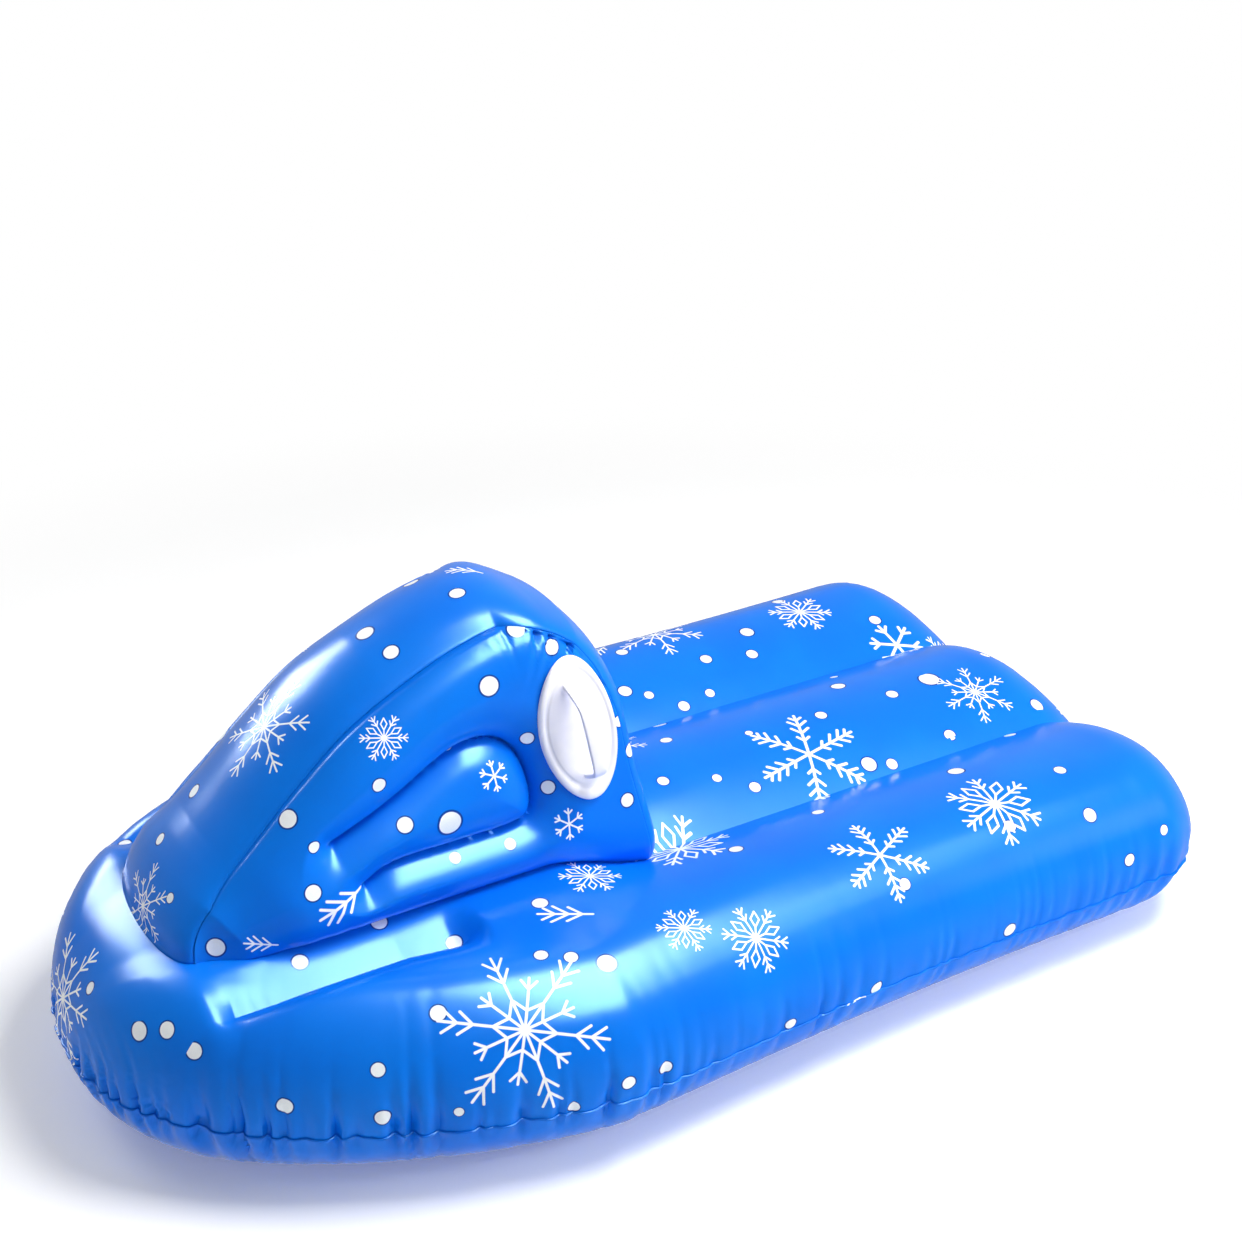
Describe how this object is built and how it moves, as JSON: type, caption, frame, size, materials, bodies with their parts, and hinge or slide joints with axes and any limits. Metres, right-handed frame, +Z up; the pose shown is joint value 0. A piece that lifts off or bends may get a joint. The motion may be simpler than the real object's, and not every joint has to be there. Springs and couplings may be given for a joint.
{
  "type": "inflatable snow sled",
  "caption": "Inflatable PVC snow sled shaped like a small snowmobile, with a raised hood at the bow, a channelled deck and a moulded grab handle on each flank of the hood.",
  "frame": {"origin": "on the ground, under the middle of the sled's length and width", "axes": "+X towards the bow, +Y towards the rider's left, +Z up"},
  "size_m": [1.202, 0.6838, 0.4529],
  "materials": {
    "blue_pvc": "semi-gloss printed film",
    "clear_pvc": "plain film",
    "white_moulding": "satin moulding",
    "valve_pvc": "satin soft moulding"
  },
  "bodies": {
    "sled": {"hull_deck_sheet": "blue_pvc", "hull_base_sheet": "blue_pvc", "hood_ridge_sheet": "blue_pvc", "hood_side_left": "blue_pvc", "hood_side_right": "blue_pvc", "handle_left": "white_moulding", "handle_right": "white_moulding", "hull_web_left": "clear_pvc", "hull_web_right": "clear_pvc", "bow_web_left": "clear_pvc", "bow_web_right": "clear_pvc", "hood_web_tongue": "clear_pvc", "hull_valve_flange": "valve_pvc", "hood_valve_flange": "valve_pvc"},
    "hull_valve_stem": {"hull_valve_stem": "valve_pvc"},
    "hull_valve_cap": {"hull_valve_cap": "valve_pvc"},
    "hull_valve_flap": {"hull_valve_flap": "valve_pvc"},
    "hood_valve_stem": {"hood_valve_stem": "valve_pvc"},
    "hood_valve_cap": {"hood_valve_cap": "valve_pvc"},
    "hood_valve_flap": {"hood_valve_flap": "valve_pvc"}
  },
  "joints": [
    {"name": "hull_valve_pull", "type": "slide", "parent": "sled", "child": "hull_valve_stem", "axis": [-0.936, 0, 0.3519], "range_m": [0, 0.01]},
    {"name": "hull_valve_cap_hinge", "type": "hinge", "parent": "hull_valve_stem", "child": "hull_valve_cap", "pos_m": [-0.5868, 0, 0.13523], "axis": [0, 1, 0], "range_deg": [0, 150]},
    {"name": "hull_valve_flap_hinge", "type": "hinge", "parent": "hull_valve_stem", "child": "hull_valve_flap", "pos_m": [-0.56512, 0, 0.12313], "axis": [0, -1, 0], "range_deg": [0, 60], "stiffness_Nm_per_rad": 0.0002, "springref_deg": -11.46},
    {"name": "hood_valve_pull", "type": "slide", "parent": "sled", "child": "hood_valve_stem", "axis": [-0.9923, 0, 0.1241], "range_m": [0, 0.01]},
    {"name": "hood_valve_cap_hinge", "type": "hinge", "parent": "hood_valve_stem", "child": "hood_valve_cap", "pos_m": [0.02229, 0, 0.30209], "axis": [0, 1, 0], "range_deg": [0, 150]},
    {"name": "hood_valve_flap_hinge", "type": "hinge", "parent": "hood_valve_stem", "child": "hood_valve_flap", "pos_m": [0.04667, 0, 0.29531], "axis": [0, -1, 0], "range_deg": [0, 60], "stiffness_Nm_per_rad": 0.0002, "springref_deg": -11.46}
  ]
}
